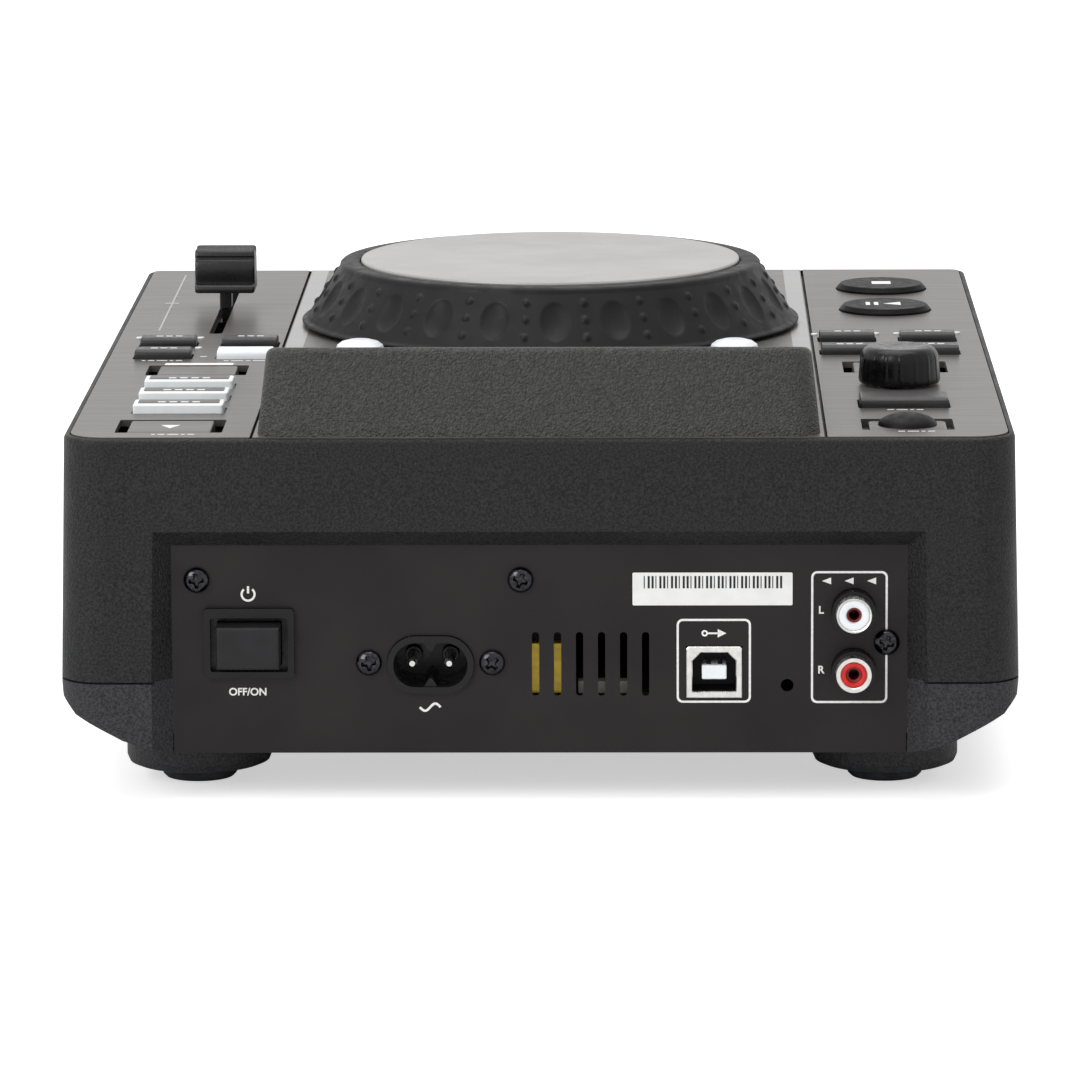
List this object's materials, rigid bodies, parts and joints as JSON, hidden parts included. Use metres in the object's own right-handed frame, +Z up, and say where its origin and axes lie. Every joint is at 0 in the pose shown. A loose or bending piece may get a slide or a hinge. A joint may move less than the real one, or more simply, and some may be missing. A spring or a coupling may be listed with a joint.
{
  "type": "tabletop dj cd player",
  "caption": "Tabletop disc player for a DJ: jog wheel, tempo fader, keys and knob on the deck, raised display housing, slot-in drive, sockets in a recessed rear panel, on four round feet.",
  "frame": {"origin": "on the ground, under the middle of the case's width and depth", "axes": "+Z up, +Y towards the rear panel with the sockets, -Y towards the player, +X to the player's right"},
  "size_m": [0.2224, 0.2872, 0.1059],
  "materials": {
    "case_plastic": "fine-textured black ABS",
    "housing_plastic": "black plastic with a leather grain",
    "deck_panel": "dark brushed panel, satin",
    "centre_panel": "silver satin panel",
    "white_key": "translucent white, satin",
    "white_button": "translucent white dome",
    "black_key": "black satin",
    "window": "clear smoked window",
    "circuit": "green board",
    "panel_metal": "black powder coat, smooth",
    "screw_metal": "blackened steel",
    "socket_plastic": "black moulded plastic",
    "switch_plastic": "black satin plastic",
    "bright_metal": "nickel plate",
    "jog_rubber": "soft-touch dark grey",
    "jog_disc": "fine spun disc",
    "steel": "plain steel",
    "bearing_plastic": "natural acetal",
    "fader_plastic": "black satin cap",
    "knob_rubber": "black satin knob",
    "transformer_tape": "yellow polyester tape",
    "soft_rubber": "matt black rubber"
  },
  "bodies": {
    "case": {"top_shell": "case_plastic", "bottom_shell": "case_plastic", "right_deck_plate": "deck_panel", "left_deck_plate": "deck_panel", "centre_plate": "centre_panel", "display_housing": "housing_plastic", "display_window": "window", "display_module": "circuit", "rear_panel": "panel_metal", "pan_screws": "screw_metal", "power_switch_body": "socket_plastic", "mains_inlet": "socket_plastic", "inlet_pins": "bright_metal", "usb_b_socket": "bright_metal", "phono_block": "socket_plastic", "phono_rings": "bright_metal", "jog_bearing": "bearing_plastic", "fader_body": "steel", "encoder_body": "steel", "key_switches": "socket_plastic", "circuit_boards": "circuit", "transformer": "transformer_tape", "top_usb_socket": "socket_plastic", "foot_cups": "case_plastic", "foot_pads": "soft_rubber", "drive_frame": "steel", "drive_motors": "steel", "sled_rods": "steel"},
    "jog": {"jog_wheel": "jog_rubber", "jog_disc": "jog_disc", "jog_shaft": "steel"},
    "fader": {"fader_cap": "fader_plastic", "fader_lever": "socket_plastic"},
    "browse_spindle": {"browse_shaft": "steel"},
    "browse_grip": {"browse_knob": "knob_rubber"},
    "power_button": {"power_button": "switch_plastic"},
    "usb_cover": {"usb_cover": "soft_rubber"},
    "disc_spindle": {"spindle_hub": "bearing_plastic"},
    "sled": {"pickup_sled": "bearing_plastic"},
    "lead_screw": {"lead_screw": "steel"},
    "roller": {"loading_roller": "soft_rubber"},
    "eject_key": {"eject_key": "deck_panel"},
    "white_key_rear": {"white_key_rear": "white_key"},
    "white_key_middle": {"white_key_middle": "white_key"},
    "white_key_front": {"white_key_front": "white_key"},
    "flush_key_right": {"flush_key_right": "deck_panel"},
    "bar_key_right_rear_outer": {"bar_key_right_rear_outer": "black_key"},
    "bar_key_right_rear_inner": {"bar_key_right_rear_inner": "white_key"},
    "bar_key_right_front_outer": {"bar_key_right_front_outer": "black_key"},
    "bar_key_right_front_inner": {"bar_key_right_front_inner": "black_key"},
    "back_key": {"back_key": "black_key"},
    "flush_key_left": {"flush_key_left": "deck_panel"},
    "bar_key_left_rear_inner": {"bar_key_left_rear_inner": "black_key"},
    "bar_key_left_rear_outer": {"bar_key_left_rear_outer": "black_key"},
    "bar_key_left_front_inner": {"bar_key_left_front_inner": "black_key"},
    "bar_key_left_front_outer": {"bar_key_left_front_outer": "black_key"},
    "play_button": {"play_button": "black_key"},
    "cue_button": {"cue_button": "black_key"},
    "round_button_right": {"round_button_right": "white_button"},
    "round_button_left": {"round_button_left": "white_button"}
  },
  "joints": [
    {"name": "jog_turn", "type": "hinge", "parent": "case", "child": "jog", "pos_m": [0, -0.043, 0.08], "axis": [0, 0, 1], "continuous": true},
    {"name": "fader_slide", "type": "slide", "parent": "case", "child": "fader", "axis": [0, 1, 0], "range_m": [-0.059, 0.041]},
    {"name": "browse_turn", "type": "hinge", "parent": "case", "child": "browse_spindle", "pos_m": [-0.0857, 0.061, 0.08], "axis": [0, 0, 1], "continuous": true},
    {"name": "browse_push", "type": "slide", "parent": "browse_spindle", "child": "browse_grip", "axis": [0, 0, -1], "range_m": [0, 0.0005], "stiffness_N_per_m": 2000},
    {"name": "power_push", "type": "slide", "parent": "case", "child": "power_button", "axis": [0, -1, 0], "range_m": [0, 0.003], "stiffness_N_per_m": 600},
    {"name": "usb_cover_lift", "type": "slide", "parent": "case", "child": "usb_cover", "axis": [0, 0, 1], "range_m": [0, 0.012]},
    {"name": "spindle_turn", "type": "hinge", "parent": "case", "child": "disc_spindle", "pos_m": [0, -0.06, 0.05], "axis": [0, 0, 1], "continuous": true},
    {"name": "sled_slide", "type": "slide", "parent": "case", "child": "sled", "axis": [0, 1, 0], "range_m": [0, 0.034]},
    {"name": "lead_screw_turn", "type": "hinge", "parent": "case", "child": "lead_screw", "pos_m": [0.023, 0, 0.042], "axis": [0, 1, 0], "range_deg": [0, 2041]},
    {"name": "roller_turn", "type": "hinge", "parent": "case", "child": "roller", "pos_m": [0, -0.118, 0.0465], "axis": [1, 0, 0], "continuous": true},
    {"name": "eject_key_press", "type": "slide", "parent": "case", "child": "eject_key", "axis": [0, 0, -1], "range_m": [0, 0.0006], "stiffness_N_per_m": 1500},
    {"name": "white_key_rear_press", "type": "slide", "parent": "case", "child": "white_key_rear", "axis": [0, 0, -1], "range_m": [0, 0.0006], "stiffness_N_per_m": 1500},
    {"name": "white_key_middle_press", "type": "slide", "parent": "case", "child": "white_key_middle", "axis": [0, 0, -1], "range_m": [0, 0.0006], "stiffness_N_per_m": 1500},
    {"name": "white_key_front_press", "type": "slide", "parent": "case", "child": "white_key_front", "axis": [0, 0, -1], "range_m": [0, 0.0006], "stiffness_N_per_m": 1500},
    {"name": "flush_key_right_press", "type": "slide", "parent": "case", "child": "flush_key_right", "axis": [0, 0, -1], "range_m": [0, 0.0006], "stiffness_N_per_m": 1500},
    {"name": "bar_key_right_rear_outer_press", "type": "slide", "parent": "case", "child": "bar_key_right_rear_outer", "axis": [0, 0, -1], "range_m": [0, 0.0006], "stiffness_N_per_m": 1500},
    {"name": "bar_key_right_rear_inner_press", "type": "slide", "parent": "case", "child": "bar_key_right_rear_inner", "axis": [0, 0, -1], "range_m": [0, 0.0006], "stiffness_N_per_m": 1500},
    {"name": "bar_key_right_front_outer_press", "type": "slide", "parent": "case", "child": "bar_key_right_front_outer", "axis": [0, 0, -1], "range_m": [0, 0.0006], "stiffness_N_per_m": 1500},
    {"name": "bar_key_right_front_inner_press", "type": "slide", "parent": "case", "child": "bar_key_right_front_inner", "axis": [0, 0, -1], "range_m": [0, 0.0006], "stiffness_N_per_m": 1500},
    {"name": "back_key_press", "type": "slide", "parent": "case", "child": "back_key", "axis": [0, 0, -1], "range_m": [0, 0.0006], "stiffness_N_per_m": 1500},
    {"name": "flush_key_left_press", "type": "slide", "parent": "case", "child": "flush_key_left", "axis": [0, 0, -1], "range_m": [0, 0.0006], "stiffness_N_per_m": 1500},
    {"name": "bar_key_left_rear_inner_press", "type": "slide", "parent": "case", "child": "bar_key_left_rear_inner", "axis": [0, 0, -1], "range_m": [0, 0.0006], "stiffness_N_per_m": 1500},
    {"name": "bar_key_left_rear_outer_press", "type": "slide", "parent": "case", "child": "bar_key_left_rear_outer", "axis": [0, 0, -1], "range_m": [0, 0.0006], "stiffness_N_per_m": 1500},
    {"name": "bar_key_left_front_inner_press", "type": "slide", "parent": "case", "child": "bar_key_left_front_inner", "axis": [0, 0, -1], "range_m": [0, 0.0006], "stiffness_N_per_m": 1500},
    {"name": "bar_key_left_front_outer_press", "type": "slide", "parent": "case", "child": "bar_key_left_front_outer", "axis": [0, 0, -1], "range_m": [0, 0.0006], "stiffness_N_per_m": 1500},
    {"name": "play_button_press", "type": "slide", "parent": "case", "child": "play_button", "axis": [0, 0, -1], "range_m": [0, 0.0006], "stiffness_N_per_m": 1500},
    {"name": "cue_button_press", "type": "slide", "parent": "case", "child": "cue_button", "axis": [0, 0, -1], "range_m": [0, 0.0006], "stiffness_N_per_m": 1500},
    {"name": "round_button_right_press", "type": "slide", "parent": "case", "child": "round_button_right", "axis": [0, 0, -1], "range_m": [0, 0.0006], "stiffness_N_per_m": 1500},
    {"name": "round_button_left_press", "type": "slide", "parent": "case", "child": "round_button_left", "axis": [0, 0, -1], "range_m": [0, 0.0006], "stiffness_N_per_m": 1500}
  ],
  "couplings": [
    {"joint": "lead_screw_turn", "follows": "sled_slide", "rad_per_m": 1047.2}
  ]
}
